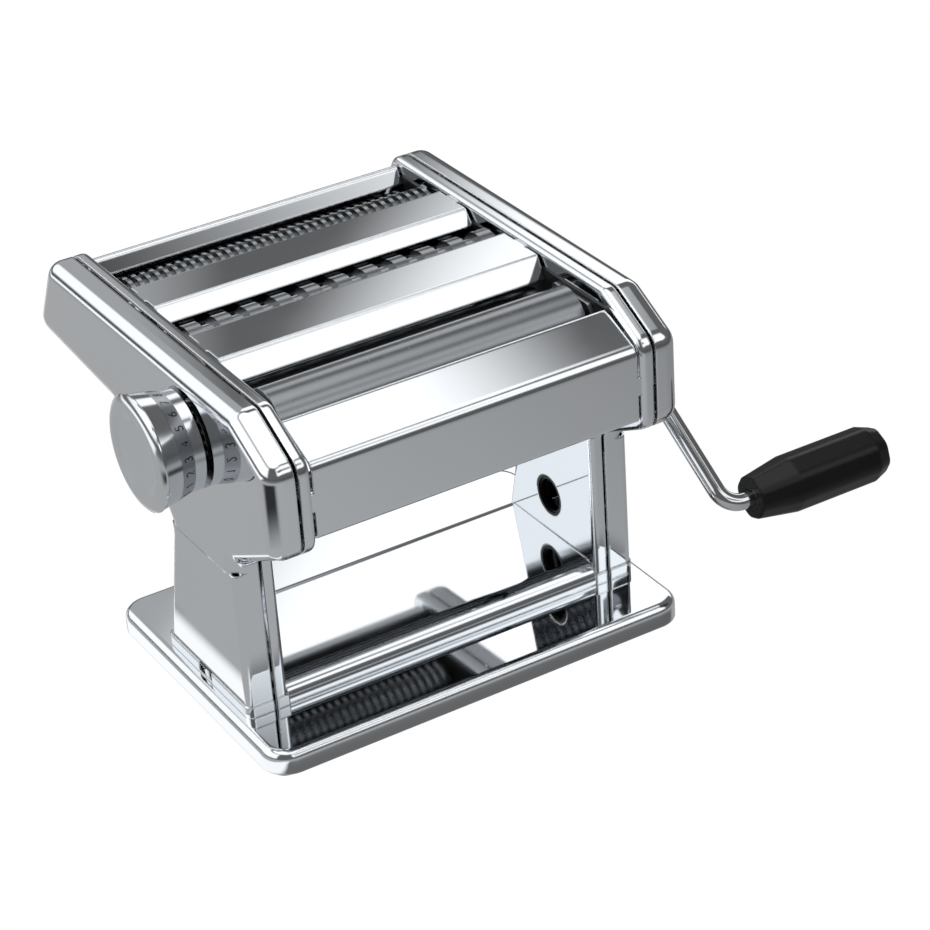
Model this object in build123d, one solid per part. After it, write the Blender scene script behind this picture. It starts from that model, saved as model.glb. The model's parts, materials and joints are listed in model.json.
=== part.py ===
from build123d import *

import math
import os

# A hand-cranked pasta roller machine on a pressed base plate.
# Millimetres. X runs along the rollers (dial at -X, crank at +X), Y runs to the back, Z up.
# The origin is on the table under the middle of the base plate.

# Side walls, measured outward from the middle
frame_gap = 151.0
frame_sheet = 1.5
frame_rim_depth = 5.5
rim_sheet = 1.2
frame_edge_radius = 2.5
seam_gap = 1.6
cover_depth = 12.0
cover_sheet = 1.0
cover_edge_radius = 7.4
leg_edge_radius = 3.0
leg_step = 0.6

# Side outline, seen from the end
body_height = 160.0
front_reach = 82.0
front_slope_top = 55.0
front_slope_drop = 14.5
nose_drop = 53.0
leg_front = 41.0
leg_back_foot = 31.0
leg_back_top = 13.0
leg_top_drop = 80.0
crotch_rise = 6.0
hip_back = 58.0
hip_drop = 44.0
tail_reach = 133.0
tail_drop = 37.5
top_back = 113.0
corner_radius = 9.0
tail_radius = 8.0
hip_radius = 10.0
crotch_radius = 6.0
foot_band_height = 5.2
foot_band_step = 0.6
clamp_slot_length = 11.0
clamp_slot_height = 4.4
clamp_slot_rise = 0.7
clamp_slot_middle = -3.0

# Base plate, feet and the bridge between the legs
base_side_margin = 5.4
base_depth = 145.0
base_thickness = 10.0
base_sheet = 1.2
base_corner_radius = 12.0
base_edge_radius = 4.0
foot_size = 24.0
foot_inset = 2.2
foot_corner_radius = 6.0
foot_stand = 2.0
bridge_rise = 10.0
bridge_sheet = 1.2
bridge_bend_radius = 8.0
bridge_flange_sheet = 3.0
bridge_boss_radius = 5.0
bolt_radius = 2.5
bolt_head_radius = 4.5
bolt_head_height = 3.0
bolt_spread_across = 90.0
bolt_spread_deep = 34.0
leg_screw_radius = 2.0
leg_screw_head_radius = 3.6
leg_screw_head_height = 2.0
leg_screw_spread = 40.0

# Smooth rollers
roller_radius = 13.5
roller_length = 142.0
least_gap = 0.3
gap_travel = 4.2
drive_roller_y = -12.0
drive_roller_drop = 28.6
roller_line_angle = 157.2
roller_journal_radius = 5.0
roller_gear_teeth = 12

# Cutting rollers
cutter_spacing = 20.8
cutter_slope = 24.1
cutter_drop = 14.0
fettuccine_y = 26.5
tagliolini_y = 79.5
cutter_length = 147.2
ring_radius = 11.0
core_radius = 8.5
ring_side_gap = 0.25
fettuccine_pitch = 13.8
tagliolini_pitch = 4.2
cutter_journal_radius = 4.0
cutter_gear_teeth = 16

# Gears
gear_width = 6.5
gear_backlash = 0.3
gear_pressure_angle = 25.0
gear_foot = 1.25
hub_radius = 8.0
flank_points = 4
edge_tolerance = 0.01

# Bearings and clearances
running_clearance = 0.05
assembly_clearance = 0.05
moving_gap = 0.3
sliding_gap = 0.1
bush_wall = 2.0
bush_flange_lip = 1.6
bush_flange_sheet = 1.0

# Folded sheet on top and in front
panel_sheet = 1.0
panel_bend_radius = 2.0
panel_end_gap = 1.0
panel_drop = 2.0
front_panel_lip = 55.5
front_panel_lip_drop = 10.5
front_panel_top = 57.8
front_panel_top_drop = 7.4
front_panel_fold = 80.0
front_panel_fold_drop = 17.0
front_panel_fold_radius = 5.0
front_panel_foot_drop = 49.5
front_panel_return = 17.0
front_bar_front = -7.8
front_bar_back = 19.2
middle_bar_front = 49.2
middle_bar_back = 72.0
guide_lip_run = 5.5
front_bar_lip_fall = 9.0
middle_bar_lip_fall = 6.0
rear_panel_lip_fall = 8.0
guide_back_fall = 2.5
rear_panel_lip_behind = 24.0
rear_panel_top_behind = 29.5
rear_panel_behind = 41.5
rear_panel_back_drop = 22.0
rear_panel_foot_drop = 33.5
rear_panel_return = 6.0
tab_width = 8.0
tab_overhang = 1.0

# End liners, tie rods and cover posts
liner_sheet = 0.8
liner_front = 62.0
liner_back = 108.0
liner_top_drop = 7.0
liner_height = 42.0
liner_inset = 3.0
liner_corner_radius = 4.0
tie_rod_radius = 3.5
tie_rod_stub_radius = 2.0
tie_rod_nut_size = 7.0
tie_rod_nut_height = 3.2
tie_rod_nut_turn = 30.0
tie_rod_front = -72.0
tie_rod_rear = 116.5
tie_rod_places = [(14.0, 47.0), (66.0, 32.0)]
post_radius = 4.0
post_stub_radius = 2.0
peg_radius = 2.0
peg_length = 6.0
post_places = [(-66.0, 35.0), (63.0, 17.0), (-10.0, 72.0)]

# Combs and scrapers that clear dough from the rollers
comb_sheet = 1.5
comb_height = 9.0
comb_standoff = 12.5
comb_tip_reach = 7.4
comb_drop = 6.0
comb_side_gap = 0.45
scraper_sheet = 0.8
scraper_width = 13.0
scraper_angle = 50.0
scraper_end_gap = 1.0

# Sliding carriage of the front roller
carriage_sheet = 2.0
carriage_front = 21.0
carriage_back = 15.6
carriage_top = 9.6
carriage_foot = 29.0
carriage_corner_radius = 2.0
carriage_bar_radius = 4.0
carriage_bar_offset = (-16.0, -23.0)
guide_pin_radius = 2.5
guide_pin_head_radius = 4.0
guide_pin_head_height = 0.9
guide_pin_offsets = [(-15.0, -9.0), (5.0, -24.5)]
follower_radius = 2.0
follower_reach = 16.2

# Thickness dial
cam_radius = 25.0
cam_sheet = 4.0
cam_start_angle = 180.0
spiral_points = 13
dial_turn = 150.0
dial_steps = 10
shaft_radius = 5.0
shaft_flat = 4.0
knob_gap = 1.6
knob_rear_radius = 21.3
knob_rear_length = 4.7
dial_band_length = 6.2
dial_band_sheet = 1.0
knob_band_radius = 22.9
knob_front_radius = 24.2
knob_band_length = 6.7
knob_cap_radius = 24.6
knob_cap_rim = 0.5
knob_cap_rise = 2.6
knob_cap_sag = 1.0
knob_groove = 0.7
knob_dish_radius = 17.0
knob_dish_depth = 0.7
knob_dish_slope = 2.5
knob_cavity_radius = 9.0
knob_floor = 6.0
knob_cap_plug = 2.0
knob_pull = 4.0
shaft_end_gap = 1.5
spring_washer_radius = 8.0
spring_washer_sheet = 1.5
spring_inner_radius = 6.0
knob_bush_wall = 3.0
knob_bush_length = 12.0
knob_bush_flange = 12.0
knob_bush_lip = 0.5
index_circle_radius = 15.0
index_angle = 90.0
index_hole_radius = 1.6
index_hole_depth = 4.5
index_pin_radius = 1.3
index_pin_tail = 4.0

# Crank
crank_radius = 3.75
crank_socket_clearance = 0.1
crank_socket_depth = 11.0
crank_pin_radius = 1.0
crank_pin_reach = 6.5
crank_pin_inset = 3.0
crank_slot_room = 0.2
crank_elbow_out = 5.4
crank_arm_lean = 8.5
crank_arm_forward = 80.0
crank_arm_fall = 68.0
crank_elbow_radius = 6.0
crank_bend_radius = 9.0
grip_start = 12.5
grip_length = 65.0
grip_neck_radius = 9.8
grip_belly_radius = 13.0
grip_end_radius = 13.0
grip_belly_at = 18.5
grip_tip_radius = 10.8
grip_tip_length = 6.0
grip_sides = 8
grip_turn = 4.5
grip_corner_share = 0.5
grip_cap_radius = 7.0
grip_cap_length = 3.0
rivet_radius = 5.0
rivet_length = 2.0
rivet_room = 0.5
port_radius = 9.0
port_wall = 0.7
port_lip = 2.5
port_lip_sheet = 0.7

# Round opening with its bush in the right leg
leg_hole_radius = 9.5
leg_hole_y = -5.5
leg_hole_rise = 28.0
leg_bush_wall = 1.2
leg_bush_rib = 0.8
leg_bush_length = 4.5

# Places that follow from the sizes above
half_gap = frame_gap / 2
plate_out = half_gap + frame_sheet
rim_out = half_gap + frame_rim_depth
cover_in = rim_out + seam_gap
cover_face = cover_in + cover_depth
cover_inside = cover_face - cover_sheet
leg_face = cover_face - leg_step
leg_crease = body_height - leg_top_drop
base_top = foot_stand + base_thickness
base_half_width = cover_face + base_side_margin
liner_in = half_gap - liner_sheet
carriage_out = liner_in - sliding_gap
carriage_in = carriage_out - carriage_sheet
gear_in = plate_out + bush_flange_sheet + moving_gap
gear_out = gear_in + gear_width
hub_end = cover_inside - moving_gap
panel_half = half_gap - panel_end_gap
sheet_top = body_height - panel_drop - panel_sheet / 2


def polar(middle, radius, angle):
    """Point at a distance and angle (degrees) from a middle point in the side view."""
    turn = math.radians(angle)
    return (middle[0] + radius * math.cos(turn), middle[1] + radius * math.sin(turn))


roller_spacing = 2 * roller_radius + least_gap
drive_axis = (drive_roller_y, body_height - drive_roller_drop)
driven_axis = polar(drive_axis, roller_spacing, roller_line_angle)
fettuccine_front = (fettuccine_y, body_height - cutter_drop)
fettuccine_rear = polar(fettuccine_front, cutter_spacing, -cutter_slope)
tagliolini_front = (tagliolini_y, body_height - cutter_drop)
tagliolini_rear = polar(tagliolini_front, cutter_spacing, -cutter_slope)
rear_panel_lip = tagliolini_y + rear_panel_lip_behind
rear_panel_top = tagliolini_y + rear_panel_top_behind
rear_panel_back = tagliolini_y + rear_panel_behind
follower_place = (drive_axis[0] - follower_reach, drive_axis[1])
rod_seat = panel_sheet / 2 + tie_rod_radius + assembly_clearance
tie_rods_at = [(y, body_height - drop) for y, drop in tie_rod_places]
tie_rods_at.append((tie_rod_front, body_height - front_panel_foot_drop + rod_seat))
tie_rods_at.append((tie_rod_rear, body_height - rear_panel_foot_drop + rod_seat))
posts_at = [(y, body_height - drop) for y, drop in post_places]
leg_screws_at = [(side * leg_screw_spread / 2, base_top + bridge_rise / 2) for side in (-1, 1)]
bolts_at = [(a * bolt_spread_across / 2, b * bolt_spread_deep / 2) for a in (-1, 1) for b in (-1, 1)]
guide_pins_at = [(driven_axis[0] + y, driven_axis[1] + z) for y, z in guide_pin_offsets]
carriage_bar_at = (driven_axis[0] + carriage_bar_offset[0], driven_axis[1] + carriage_bar_offset[1])


def rounded_outline(corners):
    """Closed face from corners (u, v, radius), with an arc at each corner that has a radius."""
    points = [Vector(u, v) for u, v, radius in corners]
    stretches = []
    for number, (u, v, radius) in enumerate(corners):
        here = points[number]
        before = (points[number - 1] - here).normalized()
        after = (points[(number + 1) % len(points)] - here).normalized()
        half = math.radians(before.get_angle(after)) / 2
        reach = radius / math.tan(half)
        middle = here + (before + after).normalized() * (radius / math.sin(half) - radius)
        stretches.append((here + before * reach, middle, here + after * reach))
    edges = []
    for number, (start, middle, end) in enumerate(stretches):
        if corners[number][2] > 0:
            edges.append(ThreePointArc(start, middle, end))
        edges.append(Line(end, stretches[(number + 1) % len(stretches)][0]))
    return make_face(edges)


def folded_band(points, sheet, bend):
    """Section of a folded sheet from its mid-line, thickness and mid bend radius (or a list of radii)."""
    bends = bend if isinstance(bend, list) else [bend] * len(points)
    left = []
    right = []
    line = [Vector(*point) for point in points]
    steps = [(end - start).normalized() for start, end in zip(line, line[1:])]
    normals = [Vector(-step.Y, step.X) for step in steps]
    for number, here in enumerate(line):
        first = normals[max(number - 1, 0)]
        second = normals[min(number, len(normals) - 1)]
        miter = (first + second) / (1 + first.dot(second))
        inner_bend = 0
        outer_bend = 0
        if 0 < number < len(line) - 1:
            side = math.copysign(sheet / 2, steps[number - 1].cross(steps[number]).Z)
            inner_bend = bends[number] - side
            outer_bend = bends[number] + side
        shift = miter * sheet / 2
        left.append((here.X + shift.X, here.Y + shift.Y, inner_bend))
        right.append((here.X - shift.X, here.Y - shift.Y, outer_bend))
    return rounded_outline(left + right[::-1])


def slab(face, start, end):
    """Extrude a side-view face along X from start to end."""
    return extrude(Plane.YZ.offset(start) * face, end - start)


def rod(place, radius, start, end):
    """Round bar along X."""
    return slab(Pos(*place) * Circle(radius), start, end)


def tube(place, outer, inner, start, end):
    """Round tube along X."""
    return rod(place, outer, start, end) - rod(place, inner, start, end)


def bar(low, high):
    """Box between two corners."""
    size = [b - a for a, b in zip(low, high)]
    return Pos(*low) * Box(*size, align=(Align.MIN, Align.MIN, Align.MIN))


def both_sides(solid):
    """A right-hand piece and its mirror image on the left."""
    return [solid, mirror(solid, about=Plane.YZ)]


def save(name, *solids):
    """Write one node: a single solid or a group of separate solids."""
    pieces = [piece for solid in solids for piece in solid.solids()]
    shape = pieces[0] if len(pieces) == 1 else Compound(children=pieces)
    shape.label = name
    export_step(shape, os.path.join("parts", name + ".step"))


def side_outline(inset=0.0):
    """Outline of a side wall, drawn in by an inset all round."""
    foot = base_top
    corners = [
        (-front_slope_top, body_height, corner_radius),
        (-front_reach, body_height - front_slope_drop, corner_radius),
        (-front_reach, body_height - nose_drop, corner_radius),
        (-leg_front, leg_crease + crotch_rise, crotch_radius),
        (-leg_front, foot, 0),
        (leg_back_foot, foot, 0),
        (leg_back_top, body_height - leg_top_drop, hip_radius),
        (hip_back, body_height - hip_drop, hip_radius),
        (tail_reach, body_height - tail_drop, tail_radius),
        (top_back, body_height, corner_radius),
    ]
    face = rounded_outline(corners)
    return offset(face, amount=-inset, kind=Kind.INTERSECTION) if inset > 0 else face


def outer_edges(solid, x, low, high):
    """Edges round the flat side of a wall at x, without those that lie along its low or high end."""
    on_side = [edge for edge in solid.edges() if abs(edge.bounding_box().min.X - x) < edge_tolerance]
    rim = [edge for edge in on_side if abs(edge.bounding_box().max.X - x) < edge_tolerance]
    above = [edge for edge in rim if edge.bounding_box().max.Z > low + edge_tolerance]
    return [edge for edge in above if edge.bounding_box().min.Z < high - edge_tolerance]


def slot_along_y(place, radius, travel):
    """Slot for a round bar that moves forward from a place by a travel."""
    middle = (place[0] - travel / 2, place[1])
    return Pos(*middle) * SlotCenterToCenter(travel, 2 * radius)


def tab_slots(clearance=0.0):
    """Rectangles where the folded sheets are held in the side walls, as (y, z, deep, high)."""
    wide = tab_width + 2 * clearance
    thin = panel_sheet + 2 * clearance
    front_middle = body_height - (front_panel_fold_drop + front_panel_foot_drop) / 2
    rear_middle = body_height - (rear_panel_back_drop + rear_panel_foot_drop) / 2
    rear_height = tab_width / 2 + 2 * clearance
    return {
        "front_panel": (-front_panel_fold, front_middle, thin, wide),
        "front_guide_bar": ((front_bar_front + front_bar_back) / 2, sheet_top, wide, thin),
        "middle_guide_bar": ((middle_bar_front + middle_bar_back) / 2, sheet_top, wide, thin),
        "rear_panel": (rear_panel_back, rear_middle, thin, rear_height),
    }


def tab_face(name, clearance=0.0):
    """Side-view rectangle of one sheet's tab, or of its slot when a clearance is given."""
    y, z, deep, high = tab_slots(clearance)[name]
    return Pos(y, z) * Rectangle(deep, high)


comb_places = {
    "fettuccine_front": (fettuccine_front, -1, fettuccine_pitch, 0.0),
    "fettuccine_rear": (fettuccine_rear, 1, fettuccine_pitch, 0.5),
    "tagliolini_front": (tagliolini_front, -1, tagliolini_pitch, 0.0),
    "tagliolini_rear": (tagliolini_rear, 1, tagliolini_pitch, 0.5),
}


def comb_plate_face(name, clearance=0.0):
    """Side-view rectangle of a comb's upright plate."""
    axis, side, pitch, shift = comb_places[name]
    y = axis[0] + side * (comb_standoff - comb_sheet / 2)
    z = axis[1] - comb_drop + comb_sheet / 2 - comb_height / 2
    return Pos(y, z) * Rectangle(comb_sheet + 2 * clearance, comb_height + 2 * clearance)


def comb_tab_face(name, clearance=0.0):
    """Middle part of a comb's plate, which is held in the side wall."""
    axis, side, pitch, shift = comb_places[name]
    y = axis[0] + side * (comb_standoff - comb_sheet / 2)
    z = axis[1] - comb_drop + comb_sheet / 2 - comb_height / 2
    return Pos(y, z) * Rectangle(comb_sheet + 2 * clearance, comb_height / 2 + 2 * clearance)


def shared_holes(side):
    """Holes that a frame plate and its liner have in common."""
    roller_bush = roller_journal_radius + bush_wall + assembly_clearance
    cutter_bush = cutter_journal_radius + bush_wall + assembly_clearance
    holes = [Pos(*drive_axis) * Circle(roller_bush)]
    for axis, comb_side, pitch, shift in comb_places.values():
        holes.append(Pos(*axis) * Circle(cutter_bush))
    for place in guide_pins_at:
        holes.append(Pos(*place) * Circle(guide_pin_radius + assembly_clearance))
    for name in comb_places:
        holes.append(comb_tab_face(name, assembly_clearance))
    for name in ("front_guide_bar", "middle_guide_bar"):
        holes.append(tab_face(name, assembly_clearance))
    if side > 0:
        holes.append(slot_along_y(driven_axis, roller_journal_radius + moving_gap, gap_travel))
    else:
        holes.append(slot_along_y(follower_place, follower_radius + moving_gap, gap_travel))
    return holes


def foot_band_face():
    """Side view of the stepped band round the foot of a leg."""
    deep = leg_front + leg_back_foot + 2 * foot_band_step
    middle = ((leg_back_foot - leg_front) / 2, base_top + foot_band_height / 2)
    return Pos(*middle) * Rectangle(deep, foot_band_height)


def cover_form(inset):
    """Form of a cover, or of its room when drawn in by an inset: a bulged body over a flatter leg."""
    split = leg_crease + inset
    body_side = cover_face - inset
    leg_side = leg_face - inset
    outline = side_outline(inset)
    above = Pos(0, split + body_height / 2) * Rectangle(4 * body_height, body_height)
    body = slab(outline & above, cover_in, body_side)
    body = fillet(outer_edges(body, body_side, split, 2 * body_height), cover_edge_radius - inset)
    leg = slab(outline - above, cover_in, leg_side)
    return body + fillet(outer_edges(leg, leg_side, base_top + inset, split), leg_edge_radius - inset)


def make_frame(side):
    """Inner side wall: a pressed tray that opens outward."""
    body = slab(side_outline(), half_gap, rim_out)
    body = fillet(outer_edges(body, half_gap, base_top, body_height), frame_edge_radius)
    body += slab(foot_band_face(), half_gap, rim_out)
    body -= slab(side_outline(rim_sheet), plate_out, rim_out)
    holes = shared_holes(side)
    for name in ("front_panel", "rear_panel"):
        holes.append(tab_face(name, assembly_clearance))
    for place in tie_rods_at:
        holes.append(Pos(*place) * Circle(tie_rod_stub_radius + assembly_clearance))
    for place in posts_at:
        holes.append(Pos(*place) * Circle(post_stub_radius + assembly_clearance))
    for place in leg_screws_at:
        holes.append(Pos(*place) * Circle(leg_screw_radius + assembly_clearance))
    if side > 0:
        holes.append(Pos(leg_hole_y, base_top + leg_hole_rise) * Circle(leg_hole_radius))
    body -= [slab(hole, half_gap, plate_out) for hole in holes]
    return body if side > 0 else mirror(body, about=Plane.YZ)


def make_liner(side):
    """Dark liner on the inside of a frame, behind the roller ends."""
    high = body_height - liner_top_drop
    middle = ((liner_back - liner_front) / 2, high - liner_height / 2)
    face = Pos(*middle) * RectangleRounded(liner_front + liner_back, liner_height, liner_corner_radius)
    body = slab(face & side_outline(liner_inset), liner_in, half_gap)
    holes = shared_holes(side)
    for place in tie_rods_at:
        holes.append(Pos(*place) * Circle(tie_rod_radius + assembly_clearance))
    body -= [slab(hole, liner_in, half_gap) for hole in holes]
    return body if side > 0 else mirror(body, about=Plane.YZ)


def make_cover(side):
    """Outer side wall: a pressed tray with a rounded rim that opens inward."""
    band = slab(foot_band_face(), cover_in, leg_face + foot_band_step)
    corners = band.edges().filter_by(Axis.Z).group_by(Axis.X)[-1]
    body = cover_form(0) + fillet(corners, leg_edge_radius + foot_band_step)
    body -= cover_form(cover_sheet)
    slot_z = base_top + clamp_slot_rise + clamp_slot_height / 2
    body -= slab(Pos(clamp_slot_middle, slot_z) * Rectangle(clamp_slot_length, clamp_slot_height),
                 leg_face - cover_sheet - leg_edge_radius, leg_face + foot_band_step)
    for place in posts_at:
        body += rod(place, peg_radius, cover_inside - peg_length, cover_inside)
    if side > 0:
        for axis in (drive_axis, fettuccine_rear, tagliolini_rear):
            body -= rod(axis, port_radius, cover_inside, cover_face)
        return body
    body -= rod(drive_axis, shaft_radius + knob_bush_wall + assembly_clearance, cover_inside, cover_face)
    index_hole = polar(drive_axis, index_circle_radius, index_angle)
    body -= rod(index_hole, index_pin_radius + assembly_clearance, cover_inside, cover_face)
    return mirror(body, about=Plane.YZ)


def make_base():
    """Pressed base plate, open underneath."""
    wide = 2 * base_half_width
    body = Pos(0, 0, foot_stand) * extrude(RectangleRounded(wide, base_depth, base_corner_radius),
                                           base_thickness)
    body = fillet(body.edges().group_by(Axis.Z)[-1], base_edge_radius)
    room = Pos(0, 0, foot_stand) * extrude(
        RectangleRounded(wide - 2 * base_sheet, base_depth - 2 * base_sheet,
                         base_corner_radius - base_sheet), base_thickness - base_sheet)
    body -= fillet(room.edges().group_by(Axis.Z)[-1], base_edge_radius - base_sheet)
    for x, y in bolts_at:
        hole = Cylinder(bolt_radius + assembly_clearance, base_sheet)
        body -= Pos(x, y, base_top - base_sheet / 2) * hole
    return body


def make_feet():
    """Four rubber feet, pushed up against the inside of the base plate."""
    high = base_top - base_sheet
    foot = extrude(RectangleRounded(foot_size, foot_size, foot_corner_radius), high)
    foot = fillet(foot.edges().group_by(Axis.Z)[-1], base_edge_radius - base_sheet)
    x = base_half_width - base_sheet - foot_inset - foot_size / 2
    y = base_depth / 2 - base_sheet - foot_inset - foot_size / 2
    return [Pos(a * x, b * y, 0) * foot for a in (-1, 1) for b in (-1, 1)]


def make_bridge():
    """Low bridge that joins the two legs over the base plate."""
    top = base_top + bridge_rise - bridge_sheet / 2
    half = bridge_sheet / 2
    path = [(-leg_front + half, base_top), (-leg_front + half, top), (leg_back_foot - half, top),
            (leg_back_foot - half, base_top)]
    body = slab(folded_band(path, bridge_sheet, bridge_bend_radius), -half_gap, half_gap)
    middle = ((leg_back_foot - leg_front) / 2, base_top + (bridge_rise - bridge_sheet) / 2)
    flange = slab(Pos(*middle) * Rectangle(leg_front + leg_back_foot - 4 * bridge_bend_radius,
                                           bridge_rise - bridge_sheet),
                  half_gap - bridge_flange_sheet, half_gap)
    body += both_sides(flange)
    boss_height = bridge_rise - bridge_sheet
    for x, y in bolts_at:
        body += Pos(x, y, base_top + boss_height / 2) * Cylinder(bridge_boss_radius, boss_height)
    for x, y in bolts_at:
        hole = Cylinder(bolt_radius + assembly_clearance, boss_height)
        body -= Pos(x, y, base_top + boss_height / 2) * hole
    for place in leg_screws_at:
        body -= rod(place, leg_screw_radius + assembly_clearance, -half_gap, half_gap)
    return body


def make_base_bolts():
    """Bolts from under the base plate into the bridge's bosses."""
    shank = base_sheet + bridge_rise - bridge_sheet - assembly_clearance
    under = base_top - base_sheet
    bolt = Pos(0, 0, under + shank / 2) * Cylinder(bolt_radius, shank)
    bolt += Pos(0, 0, under - bolt_head_height / 2) * Cylinder(bolt_head_radius, bolt_head_height)
    return [Pos(x, y, 0) * bolt for x, y in bolts_at]


def make_leg_screws():
    """Screws from inside each leg into the ends of the bridge."""
    screws = []
    for place in leg_screws_at:
        screw = rod(place, leg_screw_radius, half_gap - bridge_flange_sheet, plate_out)
        screw += rod(place, leg_screw_head_radius, plate_out, plate_out + leg_screw_head_height)
        screws += both_sides(screw)
    return screws


def make_front_panel():
    """Front panel: a lip, a sloped strip, an upright face and a return under the tie rod."""
    path = [
        (-front_panel_lip, body_height - front_panel_lip_drop),
        (-front_panel_top, body_height - front_panel_top_drop),
        (-front_panel_fold, body_height - front_panel_fold_drop),
        (-front_panel_fold, body_height - front_panel_foot_drop),
        (-front_panel_fold + front_panel_return, body_height - front_panel_foot_drop),
    ]
    bends = [panel_bend_radius] * len(path)
    bends[2] = front_panel_fold_radius
    return slab(folded_band(path, panel_sheet, bends), -panel_half, panel_half)


def make_guide_bar(front, back, lip_fall):
    """Folded guide bar between two slots, with a sloped lip towards the front."""
    half = panel_sheet / 2
    path = [
        (front - guide_lip_run, sheet_top - lip_fall),
        (front, sheet_top),
        (back - half, sheet_top),
        (back - half, sheet_top - guide_back_fall),
    ]
    return slab(folded_band(path, panel_sheet, guide_back_fall / 2), -panel_half, panel_half)


def make_rear_panel():
    """Rear panel: a sloped lip, a slanted back and a return under the tie rod."""
    path = [
        (rear_panel_lip, sheet_top - rear_panel_lip_fall),
        (rear_panel_top, sheet_top),
        (rear_panel_back, body_height - rear_panel_back_drop),
        (rear_panel_back, body_height - rear_panel_foot_drop),
        (rear_panel_back - rear_panel_return, body_height - rear_panel_foot_drop),
    ]
    return slab(folded_band(path, panel_sheet, panel_bend_radius), -panel_half, panel_half)


def with_tabs(sheet, face):
    """Add the two end tabs that hold a sheet in the side walls."""
    reach = plate_out + tab_overhang
    return sheet + slab(face, -reach, -panel_half) + slab(face, panel_half, reach)


def make_tie_rods():
    """Cross rods that hold the two frames apart."""
    rods = []
    for place in tie_rods_at:
        end = plate_out + tie_rod_nut_height
        body = rod(place, tie_rod_radius, -half_gap, half_gap)
        rods.append(body + rod(place, tie_rod_stub_radius, -end, end))
    return rods


def make_tie_rod_nuts():
    """Hexagon nuts on the ends of the cross rods."""
    nuts = []
    for place in tie_rods_at:
        face = Pos(*place) * RegularPolygon(tie_rod_nut_size / 2, 6, False, rotation=tie_rod_nut_turn)
        face -= Pos(*place) * Circle(tie_rod_stub_radius + assembly_clearance)
        nuts += both_sides(slab(face, plate_out, plate_out + tie_rod_nut_height))
    return nuts


def make_posts():
    """Posts on the right-hand frame that the outer cover is pushed onto."""
    posts = []
    for place in posts_at:
        post = rod(place, post_radius, plate_out, cover_inside)
        post += rod(place, post_stub_radius, half_gap, plate_out)
        post -= rod(place, peg_radius + assembly_clearance, cover_inside - peg_length, cover_inside)
        posts.append(post)
    return posts


def make_bush(axis, journal):
    """Flanged bush in the right-hand frame and liner."""
    outer = journal + bush_wall
    body = rod(axis, outer, liner_in, plate_out)
    body += rod(axis, outer + bush_flange_lip, plate_out, plate_out + bush_flange_sheet)
    return body - rod(axis, journal + running_clearance, liner_in, plate_out + bush_flange_sheet)


def involute(angle):
    """Involute of an angle in radians."""
    return math.tan(angle) - angle


def gear_face(axis, teeth, spacing, phase):
    """Side view of a spur gear that meshes at a spacing, with one tooth at the phase angle."""
    module = spacing / teeth
    pitch_radius = spacing / 2
    base_radius = pitch_radius * math.cos(math.radians(gear_pressure_angle))
    root = pitch_radius - gear_foot * module
    tip = pitch_radius + module
    start = max(base_radius, root)
    half_tooth = math.pi / (2 * teeth) - gear_backlash / (4 * pitch_radius)
    at_pitch = involute(math.radians(gear_pressure_angle))
    flank = []
    for step in range(flank_points):
        radius = start + (tip - start) * step / (flank_points - 1)
        spread = half_tooth + at_pitch - involute(math.acos(min(1, base_radius / radius)))
        flank.append((radius, spread))
    flank = [(root, flank[0][1])] + flank
    points = []
    for tooth in range(teeth):
        middle = math.radians(phase) + 2 * math.pi * tooth / teeth
        sides = [(radius, middle - spread) for radius, spread in flank]
        sides += [(radius, middle + spread) for radius, spread in reversed(flank)]
        points += [(radius * math.cos(turn), radius * math.sin(turn)) for radius, turn in sides]
    return Pos(*axis) * make_face(Polyline(*points, close=True))


def make_gear(axis, teeth, spacing, phase, journal):
    """Spur gear pressed on a roller's journal."""
    body = slab(gear_face(axis, teeth, spacing, phase), gear_in, gear_out)
    return body - rod(axis, journal + assembly_clearance, gear_in, gear_out)


def make_socket_gear(axis, teeth, spacing, phase, journal):
    """Spur gear with a long hub whose bore takes the crank."""
    body = slab(gear_face(axis, teeth, spacing, phase), gear_in, gear_out)
    body += rod(axis, hub_radius, gear_in, hub_end)
    body -= rod(axis, journal + assembly_clearance, gear_in, hub_end - crank_socket_depth)
    body -= rod(axis, crank_radius + crank_socket_clearance, hub_end - crank_socket_depth, hub_end)
    slot = 2 * (crank_pin_radius + crank_slot_room)
    slot_start = hub_end - crank_pin_inset - crank_pin_radius - crank_slot_room
    return body - slab(Pos(*axis) * Rectangle(slot, 3 * hub_radius), slot_start, hub_end)


def make_smooth_roller(axis, left_end, right_end):
    """Smooth roller with turned journals."""
    half = roller_length / 2
    body = rod(axis, roller_radius, -half, half)
    body = chamfer(body.edges(), moving_gap)
    return body + rod(axis, roller_journal_radius, left_end, right_end)


def make_cutter(axis, pitch, shift):
    """Cutting roller: a core with evenly spaced square rings, turned with its journals."""
    half = cutter_length / 2
    ring_half = pitch / 4 - ring_side_gap / 2
    outline = [(-half, 0), (-half, core_radius)]
    first = math.ceil(-half / pitch - 1)
    for number in range(first, -first + 1):
        middle = (number + shift) * pitch
        if abs(middle) + ring_half > half:
            continue
        outline += [(middle - ring_half, core_radius), (middle - ring_half, ring_radius)]
        outline += [(middle + ring_half, ring_radius), (middle + ring_half, core_radius)]
    outline += [(half, core_radius), (half, 0)]
    body = revolve(make_face(Polyline(*outline, close=True)), Axis.X)
    left = plate_out + bush_flange_sheet
    body = Pos(0, *axis) * body
    return body + rod(axis, cutter_journal_radius, -left, hub_end - crank_socket_depth - moving_gap)


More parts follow.
